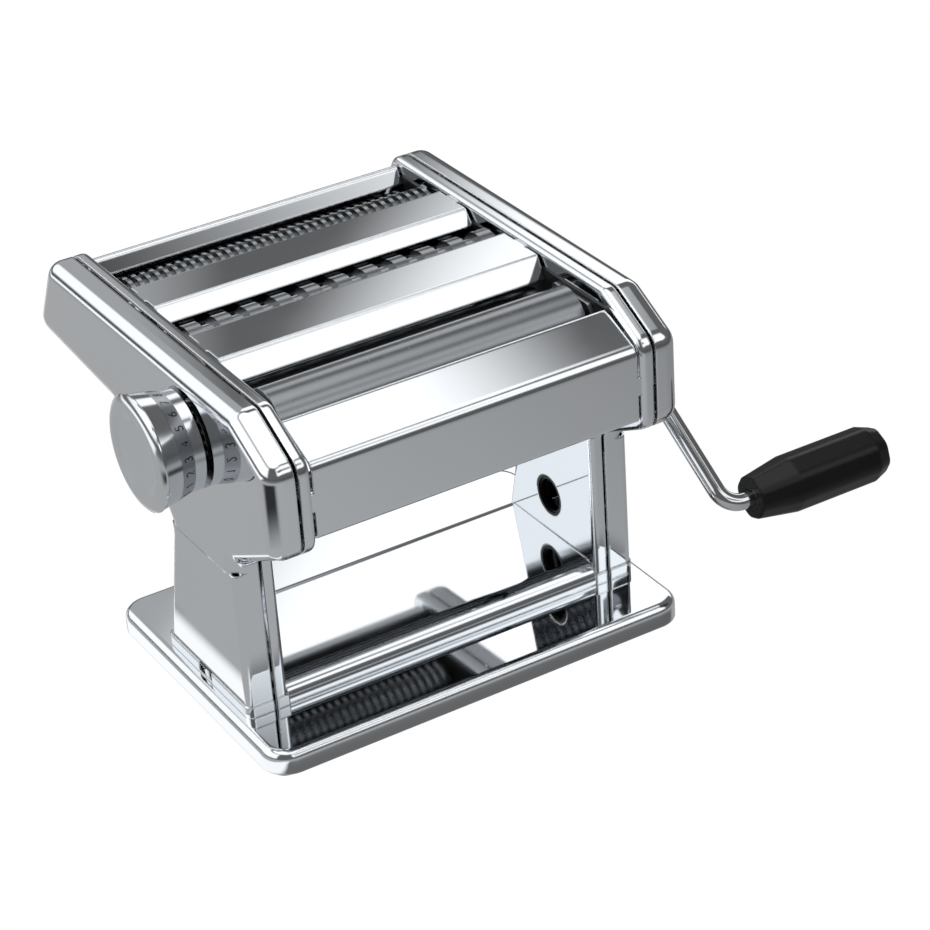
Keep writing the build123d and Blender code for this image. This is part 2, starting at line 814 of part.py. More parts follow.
def make_comb(name):
    """Comb whose fingers reach into the grooves of one cutting roller."""
    axis, side, pitch, shift = comb_places[name]
    half = cutter_length / 2
    body = slab(comb_plate_face(name), -panel_half, panel_half)
    finger_half = pitch / 4 + ring_side_gap / 2 - comb_side_gap
    root = axis[0] + side * comb_standoff
    tip = axis[0] + side * comb_tip_reach
    low = axis[1] - comb_drop - comb_sheet / 2
    first = math.ceil(-half / pitch - 1)
    fingers = []
    for number in range(first, -first + 1):
        middle = (number + shift + 0.5) * pitch
        if abs(middle) + pitch / 2 > half:
            continue
        fingers.append(bar((middle - finger_half, min(root, tip), low),
                           (middle + finger_half, max(root, tip), low + comb_sheet)))
    return with_tabs(body + fingers, comb_tab_face(name))


def make_scraper():
    """Blade under the rear smooth roller, held on the cross rod behind it."""
    edge = polar(drive_axis, roller_radius + moving_gap, -scraper_angle)
    seat = tie_rod_radius + scraper_sheet / 2 + assembly_clearance
    rod_top = (tie_rods_at[0][0], tie_rods_at[0][1] + seat)
    path = [edge, rod_top, (rod_top[0] + scraper_width / 2, rod_top[1])]
    half = panel_half - scraper_end_gap
    return slab(folded_band(path, scraper_sheet, scraper_sheet), -half, half)


def carriage_face():
    """Outline of a carriage plate in the side view."""
    y, z = driven_axis
    corners = [
        (y - carriage_front / 2, z + carriage_top),
        (y + carriage_back, z + carriage_top),
        (y + carriage_back, z - carriage_foot / 2),
        (y + carriage_back / 2, z - carriage_foot),
        (y - carriage_front, z - carriage_foot),
        (y - carriage_front, z - carriage_top / 2),
    ]
    return rounded_outline([(*corner, carriage_corner_radius) for corner in corners])


def make_carriage_plate(side):
    """Sliding plate that carries one end of the front roller."""
    face = carriage_face()
    face -= Pos(*driven_axis) * Circle(roller_journal_radius + bush_wall + assembly_clearance)
    face -= Pos(*carriage_bar_at) * Circle(tie_rod_stub_radius + assembly_clearance)
    for y, z in guide_pins_at:
        ahead = (y + gap_travel + moving_gap / 2, z)
        face -= slot_along_y(ahead, guide_pin_radius + running_clearance, gap_travel + moving_gap)
    if side < 0:
        face -= Pos(*follower_place) * Circle(follower_radius + assembly_clearance)
    body = slab(face, carriage_in, carriage_out)
    return body if side > 0 else mirror(body, about=Plane.YZ)


def make_guide_pins():
    """Headed pins that the carriage plates slide along."""
    pins = []
    for place in guide_pins_at:
        pin = rod(place, guide_pin_radius, carriage_in - sliding_gap, plate_out)
        head_in = carriage_in - sliding_gap - guide_pin_head_height
        pin += rod(place, guide_pin_head_radius, head_in, carriage_in - sliding_gap)
        pins += both_sides(pin)
    return pins


def make_cam():
    """Disc with a spiral slot that moves the carriage evenly as the dial turns."""
    slot_half = follower_radius + moving_gap / 2

    def spiral(shift):
        reach = []
        for number in range(spiral_points):
            share = number / (spiral_points - 1)
            radius = follower_reach + gap_travel * share + shift
            reach.append(polar((0, 0), radius, cam_start_angle + dial_turn * share))
        return reach

    inner = spiral(-slot_half)
    outer = spiral(slot_half)
    ends = []
    for share, way in ((0, -1), (1, 1)):
        angle = cam_start_angle + dial_turn * share
        middle = polar((0, 0), follower_reach + gap_travel * share, angle)
        ends.append(polar(middle, slot_half, angle + way * 90))
    edges = [Spline(*inner), ThreePointArc(inner[-1], ends[1], outer[-1]),
             Spline(*outer[::-1]), ThreePointArc(outer[0], ends[0], inner[0])]
    face = Circle(cam_radius) - make_face(edges) - Circle(shaft_radius + assembly_clearance)
    cam_out = plate_out + bush_flange_sheet + 2 * moving_gap + cam_sheet
    return slab(Pos(*drive_axis) * face, -cam_out, -cam_out + cam_sheet)


def turned(outline):
    """Ring turned about the dial axis from (distance outward from the cover, radius) points."""
    face = make_face(Polyline(*[(-cover_face - out, radius) for out, radius in outline], close=True))
    return Pos(0, *drive_axis) * revolve(face, Axis.X)


knob_band_start = knob_gap + knob_rear_length
knob_band_end = knob_band_start + dial_band_length
knob_front = knob_band_end + knob_band_length
band_floor = knob_rear_radius - dial_band_sheet


def flat_bore(clearance):
    """Side view of the flatted dial shaft, grown by a clearance."""
    face = Circle(shaft_radius + clearance)
    cut = shaft_radius
    return face - Pos(0, -(shaft_flat + clearance) - cut) * Rectangle(4 * cut, 2 * cut)


def make_knob_shell():
    """Body of the dial knob, with index holes in its rear face."""
    body = turned([
        (knob_gap, 0), (knob_gap, knob_rear_radius), (knob_band_start, knob_rear_radius),
        (knob_band_start, band_floor), (knob_band_end, band_floor), (knob_band_end, knob_band_radius),
        (knob_front, knob_front_radius), (knob_front, knob_cavity_radius),
        (knob_floor, knob_cavity_radius), (knob_floor, 0),
    ])
    bore = Pos(*drive_axis) * flat_bore(running_clearance)
    body -= slab(bore, -cover_face - knob_floor, -cover_face)
    for step in range(dial_steps):
        place = polar(drive_axis, index_circle_radius, index_angle + dial_turn * step / (dial_steps - 1))
        body -= rod(place, index_hole_radius, -cover_face - knob_gap - index_hole_depth, -cover_face)
    return body


def make_dial_band():
    """Satin ring that carries the numbers."""
    inner = band_floor + assembly_clearance
    start = knob_band_start + assembly_clearance
    end = knob_band_end - assembly_clearance
    return turned([(start, inner), (start, knob_rear_radius), (end, knob_band_radius), (end, inner)])


def make_knob_cap():
    """Domed cap with a dished middle that closes the knob."""
    plug = knob_cavity_radius - assembly_clearance
    neck = knob_front_radius - knob_groove
    start = knob_front
    rim = start + knob_groove
    brim = rim + knob_cap_rim
    crown = rim + knob_cap_rise
    chord = Vector(crown - brim, knob_dish_radius - knob_cap_radius)
    outward = Vector(-chord.Y, chord.X).normalized()
    shoulder = Vector(brim, knob_cap_radius) + chord / 2 + outward * knob_cap_sag
    dish = (crown - knob_dish_depth, knob_dish_radius - knob_dish_slope)
    edges = [
        Polyline((start - knob_cap_plug, 0), (start - knob_cap_plug, plug), (start, plug), (start, neck),
                 (rim, neck), (rim, knob_cap_radius), (brim, knob_cap_radius)),
        ThreePointArc((brim, knob_cap_radius), (shoulder.X, shoulder.Y), (crown, knob_dish_radius)),
        Polyline((crown, knob_dish_radius), dish, (dish[0], 0), (start - knob_cap_plug, 0)),
    ]
    face = make_face(edges)
    body = mirror(revolve(face, Axis.X), about=Plane.YZ)
    return Pos(-cover_face, *drive_axis) * body


shaft_end = knob_front - knob_cap_plug - shaft_end_gap


def make_adjuster_shaft():
    """Dial shaft with a spring washer at its outer end."""
    cam_in = plate_out + bush_flange_sheet + 2 * moving_gap
    body = rod(drive_axis, shaft_radius, -cover_face - knob_bush_lip, -cam_in)
    washer_start = shaft_end - spring_washer_sheet
    body += slab(Pos(*drive_axis) * flat_bore(0), -cover_face - shaft_end, -cover_face - knob_bush_lip)
    return body + rod(drive_axis, spring_washer_radius, -cover_face - shaft_end, -cover_face - washer_start)


def make_knob_spring():
    """Return spring of the knob, drawn as its sleeve at the fully pulled length."""
    end = shaft_end - spring_washer_sheet
    start = knob_floor + knob_pull + moving_gap
    outer = spring_washer_radius
    return tube(drive_axis, outer, spring_inner_radius, -cover_face - end, -cover_face - start)


def make_knob_bush():
    """Flanged bush that carries the dial shaft in the left cover."""
    outer = shaft_radius + knob_bush_wall
    inner_end = cover_face - knob_bush_length
    body = rod(drive_axis, outer, -cover_face, -inner_end)
    body += rod(drive_axis, knob_bush_flange, -cover_face - knob_bush_lip, -cover_face)
    return body - rod(drive_axis, shaft_radius + running_clearance, -cover_face - knob_bush_lip, -inner_end)


def make_index_pin():
    """Pin on the left cover that the knob's index holes line up with."""
    place = polar(drive_axis, index_circle_radius, index_angle)
    end = cover_face + knob_gap - moving_gap
    body = rod(place, index_pin_radius, -end, -cover_inside)
    return body + rod(place, 2 * index_pin_radius, -cover_inside, -cover_inside + index_pin_tail)


crank_elbow = cover_face + crank_elbow_out
crank_tip = hub_end - crank_socket_depth + moving_gap
crank_pin_at = hub_end - crank_pin_inset
crank_corner = (
    crank_elbow + crank_arm_lean,
    drive_axis[0] - crank_arm_forward,
    drive_axis[1] - crank_arm_fall,
)
grip_from = crank_corner[0] + grip_start
rod_end = grip_from + grip_length - grip_cap_length - rivet_room - rivet_length


def make_crank_rod():
    """Bent rod of the crank, from its tip in the socket to the riveted end inside the grip."""
    path = FilletPolyline((crank_tip, *drive_axis), (crank_elbow, *drive_axis), crank_corner,
                          (rod_end, *crank_corner[1:]), radius=[crank_elbow_radius, crank_bend_radius])
    body = sweep(Plane(origin=(crank_tip, *drive_axis), z_dir=(1, 0, 0)) * Circle(crank_radius), path=path)
    body += rod(crank_corner[1:], rivet_radius, rod_end, rod_end + rivet_length)
    hole = Cylinder(crank_pin_radius + assembly_clearance, 4 * crank_radius)
    return body - Pos(crank_pin_at, *drive_axis) * hole


def make_crank_pin():
    """Cross pin in the crank that drives the socket."""
    return Pos(crank_pin_at, *drive_axis) * Cylinder(crank_pin_radius, 2 * crank_pin_reach)


def grip_section(along, radius):
    """Many-sided section of the grip with softened corners, at a distance along the grip."""
    flat = RegularPolygon(radius, grip_sides, rotation=grip_turn)
    flat = fillet(flat.vertices(), grip_corner_share * radius)
    return Plane.YZ.offset(grip_from + along) * Pos(*crank_corner[1:]) * flat


def make_grip():
    """Many-sided tapered grip that turns freely on the crank rod."""
    pocket = rod_end - rivet_room
    body = loft([
        grip_section(0, grip_neck_radius),
        grip_section(grip_belly_at, grip_belly_radius),
        grip_section(grip_length - grip_tip_length, grip_end_radius),
        grip_section(grip_length, grip_tip_radius),
    ], ruled=True)
    body -= rod(crank_corner[1:], crank_radius + running_clearance, grip_from, pocket)
    return body - rod(crank_corner[1:], grip_cap_radius, pocket, grip_from + grip_length)


def make_grip_cap():
    """Plug that closes the end of the grip."""
    return rod(crank_corner[1:], grip_cap_radius - assembly_clearance,
               grip_from + grip_length - grip_cap_length, grip_from + grip_length)


def make_port_rings():
    """Trim rings in the three crank ports of the right cover."""
    rings = []
    for axis in (drive_axis, fettuccine_rear, tagliolini_rear):
        outer = port_radius - assembly_clearance
        ring = rod(axis, outer, cover_inside, cover_face)
        ring += rod(axis, port_radius + port_lip, cover_face, cover_face + port_lip_sheet)
        rings.append(ring - rod(axis, outer - port_wall, cover_inside, cover_face + port_lip_sheet))
    return rings


def make_leg_bush():
    """Ribbed bush in the round opening of the right leg."""
    place = (leg_hole_y, base_top + leg_hole_rise)
    outer = leg_hole_radius - assembly_clearance
    inner = outer - leg_bush_wall
    body = tube(place, outer, inner, half_gap, half_gap + leg_bush_length)
    for share in (1 / 3, 1):
        end = half_gap + leg_bush_length * share
        body += tube(place, outer, inner - leg_bush_rib, end - leg_bush_rib, end)
    return body


def write_root():
    """Everything that stays still on the table."""
    save("base_plate", make_base())
    save("rubber_feet", *make_feet())
    save("base_bolts", *make_base_bolts())
    save("leg_bridge", make_bridge())
    save("leg_screws", *make_leg_screws())
    save("left_frame", make_frame(-1))
    save("right_frame", make_frame(1))
    save("left_cover", make_cover(-1))
    save("right_cover", make_cover(1))
    posts = make_posts()
    save("right_cover_posts", *posts)
    save("left_cover_posts", *[mirror(post, about=Plane.YZ) for post in posts])
    save("left_liner", make_liner(-1))
    save("right_liner", make_liner(1))
    save("front_panel", with_tabs(make_front_panel(), tab_face("front_panel")))
    save("rear_panel", with_tabs(make_rear_panel(), tab_face("rear_panel")))
    front_bar = make_guide_bar(front_bar_front, front_bar_back, front_bar_lip_fall)
    middle_bar = make_guide_bar(middle_bar_front, middle_bar_back, middle_bar_lip_fall)
    save("front_guide_bar", with_tabs(front_bar, tab_face("front_guide_bar")))
    save("middle_guide_bar", with_tabs(middle_bar, tab_face("middle_guide_bar")))
    save("tie_rods", *make_tie_rods())
    save("tie_rod_nuts", *make_tie_rod_nuts())
    save("roller_bushes", *both_sides(make_bush(drive_axis, roller_journal_radius)))
    cutter_bushes = []
    for axis, side, pitch, shift in comb_places.values():
        cutter_bushes += both_sides(make_bush(axis, cutter_journal_radius))
    save("cutter_bushes", *cutter_bushes)
    for name in comb_places:
        save(name + "_comb", make_comb(name))
    save("roller_scraper", make_scraper())
    save("carriage_guide_pins", *make_guide_pins())
    save("knob_bush", make_knob_bush())
    save("index_pin", make_index_pin())
    save("crank_port_rings", *make_port_rings())
    save("leg_hole_bush", make_leg_bush())


def write_rollers():
    """Smooth rollers, their gears and the carriage of the front one."""
    half_pitch = 180 / roller_gear_teeth
    drive_end = hub_end - crank_socket_depth - moving_gap
    left = plate_out + bush_flange_sheet
    save("drive_roller", make_smooth_roller(drive_axis, -left, drive_end))
    save("drive_gear", make_socket_gear(drive_axis, roller_gear_teeth, roller_spacing,
                                        roller_line_angle, roller_journal_radius))
    save("driven_roller", make_smooth_roller(driven_axis, -carriage_out, carriage_out))
    driven_phase = roller_line_angle + 180 + half_pitch
    driven_teeth = gear_face(driven_axis, roller_gear_teeth, roller_spacing, driven_phase)
    driven_stub = rod(driven_axis, roller_journal_radius, carriage_out, gear_out)
    save("driven_gear", slab(driven_teeth, gear_in, gear_out) + driven_stub)
    save("carriage_left_plate", make_carriage_plate(-1))
    save("carriage_right_plate", make_carriage_plate(1))
    bar_body = rod(carriage_bar_at, carriage_bar_radius, -carriage_in, carriage_in)
    save("carriage_bar", bar_body + rod(carriage_bar_at, tie_rod_stub_radius, -carriage_out, carriage_out))
    bush = tube(driven_axis, roller_journal_radius + bush_wall, roller_journal_radius + running_clearance,
                carriage_in, carriage_out)
    save("carriage_bushes", *both_sides(bush))
    cam_out = plate_out + bush_flange_sheet + 2 * moving_gap + cam_sheet
    save("follower_pin", rod(follower_place, follower_radius, -cam_out, -carriage_in))


def write_dial():
    """Thickness dial: shaft, cam, spring and knob."""
    save("gap_cam", make_cam())
    save("adjuster_shaft", make_adjuster_shaft())
    save("knob_spring", make_knob_spring())
    save("knob_shell", make_knob_shell())
    save("dial_band", make_dial_band())
    save("knob_cap", make_knob_cap())


def write_cutters():
    """Two pairs of cutting rollers with their gears."""
    half_pitch = 180 / cutter_gear_teeth
    for name, (axis, side, pitch, shift) in comb_places.items():
        save(name + "_cutter", make_cutter(axis, pitch, shift))
        phase = -cutter_slope if side < 0 else 180 - cutter_slope + half_pitch
        maker = make_gear if side < 0 else make_socket_gear
        save(name + "_gear", maker(axis, cutter_gear_teeth, cutter_spacing, phase, cutter_journal_radius))


def write_crank():
    """Removable crank with its turning grip."""
    save("crank_rod", make_crank_rod())
    save("crank_pin", make_crank_pin())
    save("crank_grip", make_grip())
    save("grip_cap", make_grip_cap())


os.makedirs("parts", exist_ok=True)
write_root()
write_rollers()
write_dial()
write_cutters()
write_crank()
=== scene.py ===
import json
import math

import bpy
from mathutils import Matrix, Vector


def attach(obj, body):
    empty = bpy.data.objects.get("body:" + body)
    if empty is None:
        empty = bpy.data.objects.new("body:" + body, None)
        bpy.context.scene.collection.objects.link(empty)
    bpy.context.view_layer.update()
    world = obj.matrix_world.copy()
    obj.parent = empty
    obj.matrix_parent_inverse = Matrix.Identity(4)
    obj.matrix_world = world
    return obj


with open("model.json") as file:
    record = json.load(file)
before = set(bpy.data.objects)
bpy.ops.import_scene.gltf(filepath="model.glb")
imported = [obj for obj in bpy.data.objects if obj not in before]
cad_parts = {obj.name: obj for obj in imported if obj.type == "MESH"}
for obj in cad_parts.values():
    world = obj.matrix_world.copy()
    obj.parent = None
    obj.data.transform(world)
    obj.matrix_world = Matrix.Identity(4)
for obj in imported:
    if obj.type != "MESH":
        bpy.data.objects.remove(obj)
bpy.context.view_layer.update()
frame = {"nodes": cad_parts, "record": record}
scene = bpy.context.scene
nodes = frame["nodes"]

# Materials: what all surfaces have in common, and the stretch of their fine noise
specular_level = 0.3
bevel_samples = 6
broad_detail = 3.0
fine_detail = 4.0
even = (1.0, 1.0, 1.0)
turned = (8.0, 1.0, 1.0)


def new_material(name):
    """Empty node material with its shader and output."""
    material = bpy.data.materials.new(name)
    material.use_nodes = True
    tree = material.node_tree
    tree.nodes.clear()
    output = tree.nodes.new("ShaderNodeOutputMaterial")
    shader = tree.nodes.new("ShaderNodeBsdfPrincipled")
    tree.links.new(shader.outputs["BSDF"], output.inputs["Surface"])
    return material, tree, shader


def noise(tree, scale, detail, stretch):
    """Noise over the object's own coordinates, stretched along the axes."""
    place = tree.nodes.new("ShaderNodeTexCoord")
    mapping = tree.nodes.new("ShaderNodeMapping")
    mapping.inputs["Scale"].default_value = stretch
    texture = tree.nodes.new("ShaderNodeTexNoise")
    texture.inputs["Scale"].default_value = scale
    texture.inputs["Detail"].default_value = detail
    tree.links.new(place.outputs["Object"], mapping.inputs["Vector"])
    tree.links.new(mapping.outputs["Vector"], texture.inputs["Vector"])
    return texture.outputs["Fac"]


def spread(tree, factor, low, high):
    """Map a 0 to 1 factor to a range."""
    node = tree.nodes.new("ShaderNodeMapRange")
    node.inputs["To Min"].default_value = low
    node.inputs["To Max"].default_value = high
    tree.links.new(factor, node.inputs["Value"])
    return node.outputs["Result"]


def blend_colours(tree, factor, first, second):
    """Mix two colours by a factor."""
    node = tree.nodes.new("ShaderNodeMix")
    node.data_type = "RGBA"
    node.inputs["A"].default_value = (*first, 1.0)
    node.inputs["B"].default_value = (*second, 1.0)
    tree.links.new(factor, node.inputs["Factor"])
    return node.outputs["Result"]


def bump(tree, shader, height, strength, distance, edge):
    """Fine relief from a height factor, over edges softened by a radius."""
    node = tree.nodes.new("ShaderNodeBump")
    if edge > 0:
        soft = tree.nodes.new("ShaderNodeBevel")
        soft.samples = bevel_samples
        soft.inputs["Radius"].default_value = edge
        tree.links.new(soft.outputs["Normal"], node.inputs["Normal"])
    node.inputs["Strength"].default_value = strength
    node.inputs["Distance"].default_value = distance
    tree.links.new(height, node.inputs["Height"])
    tree.links.new(node.outputs["Normal"], shader.inputs["Normal"])


def surface(name, metallic, colours, rough, grain, stretch, relief, edge=0.0):
    """Surface with varied colour, varied roughness, fine relief and softened edges."""
    material, tree, shader = new_material(name)
    shader.inputs["Metallic"].default_value = metallic
    shader.inputs["Specular IOR Level"].default_value = specular_level
    broad = noise(tree, grain[0], broad_detail, even)
    fine = noise(tree, grain[1], fine_detail, stretch)
    tree.links.new(blend_colours(tree, broad, *colours), shader.inputs["Base Color"])
    tree.links.new(spread(tree, fine, *rough), shader.inputs["Roughness"])
    bump(tree, shader, fine, *relief, edge)
    return material


# Each look has two colours, then roughness from and to, the scales of broad and fine noise,
# the stretch, the strength and depth of the relief, and a radius where edges are softened
looks = {
    "chrome_sheet": surface("polished chrome", 1.0, ((0.77, 0.80, 0.83), (0.82, 0.85, 0.88)),
                            (0.025, 0.065), (9, 60), even, (0.012, 0.00005), 0.0012),
    "knob_chrome": surface("knob chrome", 1.0, ((0.72, 0.75, 0.78), (0.80, 0.83, 0.86)),
                           (0.10, 0.18), (20, 160), even, (0.02, 0.00005)),
    "crank_chrome": surface("crank chrome", 1.0, ((0.66, 0.68, 0.70), (0.74, 0.76, 0.78)),
                            (0.08, 0.14), (20, 160), even, (0.02, 0.00005)),
    "roller_aluminium": surface("turned aluminium", 1.0, ((0.26, 0.275, 0.29), (0.31, 0.325, 0.34)),
                                (0.20, 0.30), (14, 300), turned, (0.03, 0.00003)),
    "dial_satin": surface("satin band", 1.0, ((0.40, 0.42, 0.45), (0.46, 0.48, 0.51)),
                          (0.28, 0.38), (30, 300), turned, (0.03, 0.00003)),
    "machined_steel": surface("machined steel", 1.0, ((0.36, 0.37, 0.39), (0.46, 0.47, 0.49)),
                              (0.22, 0.36), (18, 300), turned, (0.05, 0.00003)),
    "dark_plastic": surface("black moulding", 0.0, ((0.004, 0.004, 0.004), (0.009, 0.009, 0.009)),
                            (0.35, 0.50), (25, 300), even, (0.08, 0.0001)),
    "bush_plastic": surface("natural moulding", 0.0, ((0.40, 0.39, 0.36), (0.48, 0.47, 0.43)),
                            (0.40, 0.55), (25, 300), even, (0.08, 0.0001)),
    "grip_plastic": surface("grip moulding", 0.0, ((0.006, 0.005, 0.005), (0.011, 0.010, 0.010)),
                            (0.26, 0.36), (30, 500), even, (0.06, 0.0001), 0.0015),
    "foot_rubber": surface("foot rubber", 0.0, ((0.006, 0.006, 0.006), (0.014, 0.014, 0.014)),
                           (0.65, 0.85), (30, 400), even, (0.15, 0.0002)),
}
for row in frame["record"]["subparts"]:
    node = nodes[row["node"]]
    node.data.materials.clear()
    node.data.materials.append(looks[row["material_slot"]])

# Numbers printed on the dial band: each digit is drawn in a box of this width and height
box_width = 0.6
box_height = 1.0
# The dial's axis in y and z, and how far out from the cover's face the digits stand
dial_axis = (-0.012, 0.1314)
cover_face = -0.0946
digit_out = 0.0091
digit_height = 0.0038
digit_width = 0.0034
stroke_half = 0.00024
print_depth = 0.00004
ribbon_corners = 4
# Distance out and radius at the two edges of the band
band_low = (0.0063, 0.0213)
band_high = (0.0125, 0.0229)
# The last digit's angle, and the turn from the last digit to the first
last_digit = 9
last_angle = 71.4
dial_turn = 150.0
digit_step = dial_turn / last_digit


def sweep(middle, half_width, half_height, start, end, count=14):
    """Points on an oval arc, with angles in degrees."""
    points = []
    for number in range(count + 1):
        angle = math.radians(start + (end - start) * number / count)
        across = middle[0] + half_width * math.cos(angle)
        points.append((across, middle[1] + half_height * math.sin(angle)))
    return points


def turned_over(strokes):
    """Strokes turned by half a turn in their box."""
    return [[(box_width - across, box_height - up) for across, up in stroke] for stroke in strokes]


six = [sweep((0.62, 0.36), 0.56, 0.60, 105, 180) + sweep((0.31, 0.30), 0.25, 0.26, 180, 500, 20)]
digit_strokes = [
    [sweep((0.3, 0.5), 0.24, 0.46, 90, 450, 24)],
    [[(0.12, 0.76), (0.34, 0.96), (0.34, 0.04)]],
    [sweep((0.3, 0.70), 0.24, 0.26, 165, -40) + [(0.06, 0.04), (0.56, 0.04)]],
    [sweep((0.28, 0.73), 0.22, 0.23, 150, -85), sweep((0.28, 0.27), 0.26, 0.25, 88, -150)],
    [[(0.42, 0.04), (0.42, 0.96), (0.04, 0.32), (0.58, 0.32)]],
    [[(0.52, 0.96), (0.14, 0.96), (0.11, 0.53)] + sweep((0.29, 0.32), 0.26, 0.28, 120, -150)],
    six,
    [[(0.06, 0.96), (0.56, 0.96), (0.22, 0.04)]],
    [sweep((0.3, 0.74), 0.20, 0.21, -90, 270, 20), sweep((0.3, 0.27), 0.25, 0.25, 90, 450, 20)],
    turned_over(six),
]


def on_band(across, up, lift, angle):
    """Place on the dial band of a point of a digit that stands at an angle."""
    out = digit_out + up
    share = (out - band_low[0]) / (band_high[0] - band_low[0])
    radius = band_low[1] + share * (band_high[1] - band_low[1])
    turn = math.radians(angle) - across / radius
    reach = radius + lift
    place_y = dial_axis[0] + reach * math.cos(turn)
    place_z = dial_axis[1] + reach * math.sin(turn)
    return (cover_face - out, place_y, place_z)


def add_stroke(stroke, angle, verts, faces):
    """Thin closed ribbon along one stroke, with four corners at each of its points."""
    line = []
    for across, up in stroke:
        line.append(Vector(((across - box_width / 2) * digit_width,
                            (up - box_height / 2) * digit_height)))
    base = len(verts)
    for number, point in enumerate(line):
        before = line[max(number - 1, 0)]
        after = line[min(number + 1, len(line) - 1)]
        along = (after - before).normalized()
        side = Vector((-along.y, along.x)) * stroke_half
        for lift in (-print_depth, print_depth):
            for edge in (point + side, point - side):
                verts.append(on_band(edge.x, edge.y, lift, angle))
    for number in range(len(line) - 1):
        near = base + ribbon_corners * number
        far = near + ribbon_corners
        faces.append((near, near + 1, far + 1, far))
        faces.append((near + 2, far + 2, far + 3, near + 3))
        faces.append((near, far, far + 2, near + 2))
        faces.append((near + 1, near + 3, far + 3, far + 1))
    last = base + ribbon_corners * (len(line) - 1)
    faces.append((base, base + 2, base + 3, base + 1))
    faces.append((last, last + 1, last + 3, last + 2))


digit_verts = []
digit_faces = []
for digit, strokes in enumerate(digit_strokes):
    digit_angle = last_angle + (last_digit - digit) * digit_step
    for stroke in strokes:
        add_stroke(stroke, digit_angle, digit_verts, digit_faces)
digit_mesh = bpy.data.meshes.new("dial numbers")
digit_mesh.from_pydata(digit_verts, [], digit_faces)
dial_print = surface("dial print", 0.0, ((0.004, 0.004, 0.005), (0.010, 0.010, 0.011)),
                     (0.45, 0.60), (60, 900), even, (0.05, 0.00002))
digit_mesh.materials.append(dial_print)
dial_numbers = bpy.data.objects.new("dial_numbers", digit_mesh)
scene.collection.objects.link(dial_numbers)
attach(dial_numbers, "knob")

# Studio: a floor and a surround that the camera sees as white, and a soft lamp.
# All other rays see light and dark fields there, which the polished sheet reflects; on the floor
# these are painted light and painted shadow that glow, though the floor is no lamp
white = 1.0


def maths(tree, kind, first, second=0.0):
    """One arithmetic step on a socket or a number."""
    node = tree.nodes.new("ShaderNodeMath")
    node.operation = kind
    for place, value in enumerate((first, second)):
        if isinstance(value, (int, float)):
            node.inputs[place].default_value = value
        else:
            tree.links.new(value, node.inputs[place])
    return node.outputs["Value"]


def step(tree, value, low, high, at_low=0.0, at_high=1.0):
    """Smooth step of a value between two limits."""
    node = tree.nodes.new("ShaderNodeMapRange")
    node.interpolation_type = "SMOOTHSTEP"
    limits = {"From Min": low, "From Max": high, "To Min": at_low, "To Max": at_high}
    for name, number in limits.items():
        node.inputs[name].default_value = number
    tree.links.new(value, node.inputs["Value"])
    return node.outputs["Result"]


def split(tree, vector):
    """The three coordinates of a vector socket."""
    node = tree.nodes.new("ShaderNodeSeparateXYZ")
    tree.links.new(vector, node.inputs["Vector"])
    return node.outputs["X"], node.outputs["Y"], node.outputs["Z"]


def by_ray(tree, seen, other):
    """One shader for what the camera sees and another for all other rays."""
    rays = tree.nodes.new("ShaderNodeLightPath")
    pick = tree.nodes.new("ShaderNodeMixShader")
    tree.links.new(rays.outputs["Is Camera Ray"], pick.inputs["Fac"])
    tree.links.new(other, pick.inputs[1])
    tree.links.new(seen, pick.inputs[2])
    return pick.outputs["Shader"]


def glow(tree, kind, strength):
    """White light source shader with a strength, which may be a socket."""
    node = tree.nodes.new(kind)
    node.inputs["Color"].default_value = (1.0, 1.0, 1.0, 1.0)
    if isinstance(strength, (int, float)):
        node.inputs["Strength"].default_value = strength
    else:
        tree.links.new(strength, node.inputs["Strength"])
    return node.outputs[0]


# The floor, with half sizes for the base plate and the place of the left cover's nose in plan
floor_size = 12.0
floor_level = -0.0005
base_half_x = 0.100
base_half_y = 0.0725
nose_x = -0.090
nose_y = -0.082
floor_material = bpy.data.materials.new("floor")
floor_material.use_nodes = True
floor_tree = floor_material.node_tree
floor_tree.nodes.clear()
floor_place = floor_tree.nodes.new("ShaderNodeNewGeometry").outputs["Position"]
floor_x, floor_y = split(floor_tree, floor_place)[:2]


def both(first, second):
    """Product of two floor factors."""
    return maths(floor_tree, "MULTIPLY", first, second)


def without(factor):
    """One less a floor factor."""
    return maths(floor_tree, "SUBTRACT", 1.0, factor)


def ramp(value, limits, at_low=0.0, at_high=1.0):
    """Smooth step of a floor value between two limits."""
    return step(floor_tree, value, *limits, at_low, at_high)


def length(across, along):
    """Length of a vector on the floor."""
    squares = maths(floor_tree, "ADD", both(across, across), both(along, along))
    return maths(floor_tree, "SQRT", squares)


def past(value, half):
    """Distance on the floor past an edge of the base plate."""
    return maths(floor_tree, "SUBTRACT", maths(floor_tree, "ABSOLUTE", value), half)


beyond_x = past(floor_x, base_half_x)
beyond_y = past(floor_y, base_half_y)

# Painted light: a bright strip on the floor along the left edge of the base plate
strip_start = (-0.096, -0.102)
strip_fade = (0.010, 0.019)
strip_front = (-0.105, -0.085)
strip_light = 1.15
painted_light_near_left = both(ramp(floor_x, strip_start), ramp(beyond_x, strip_fade, strip_light, 0.0))
painted_light_near_left = both(painted_light_near_left, ramp(floor_y, strip_front))

# Painted shadows: dark fields on the floor in front of the base plate and behind it, which fade
# past its two ends
end_fade = (0.0, 0.02)
front_start = (-0.070, -0.074)
front_fade = (0.006, 0.030)
front_shade = 0.65
behind_start = (0.060, 0.070)
behind_fade = (0.15, 0.22)
behind_shade = 0.88
within_ends = ramp(beyond_x, end_fade, 1.0, 0.0)
painted_shadow_in_front = both(ramp(floor_y, front_start), ramp(beyond_y, front_fade, 1.0, 0.0))
painted_shadow_in_front = both(painted_shadow_in_front, within_ends)
behind = both(ramp(floor_y, behind_start), ramp(floor_y, behind_fade, 1.0, 0.0))
behind = both(behind, within_ends)
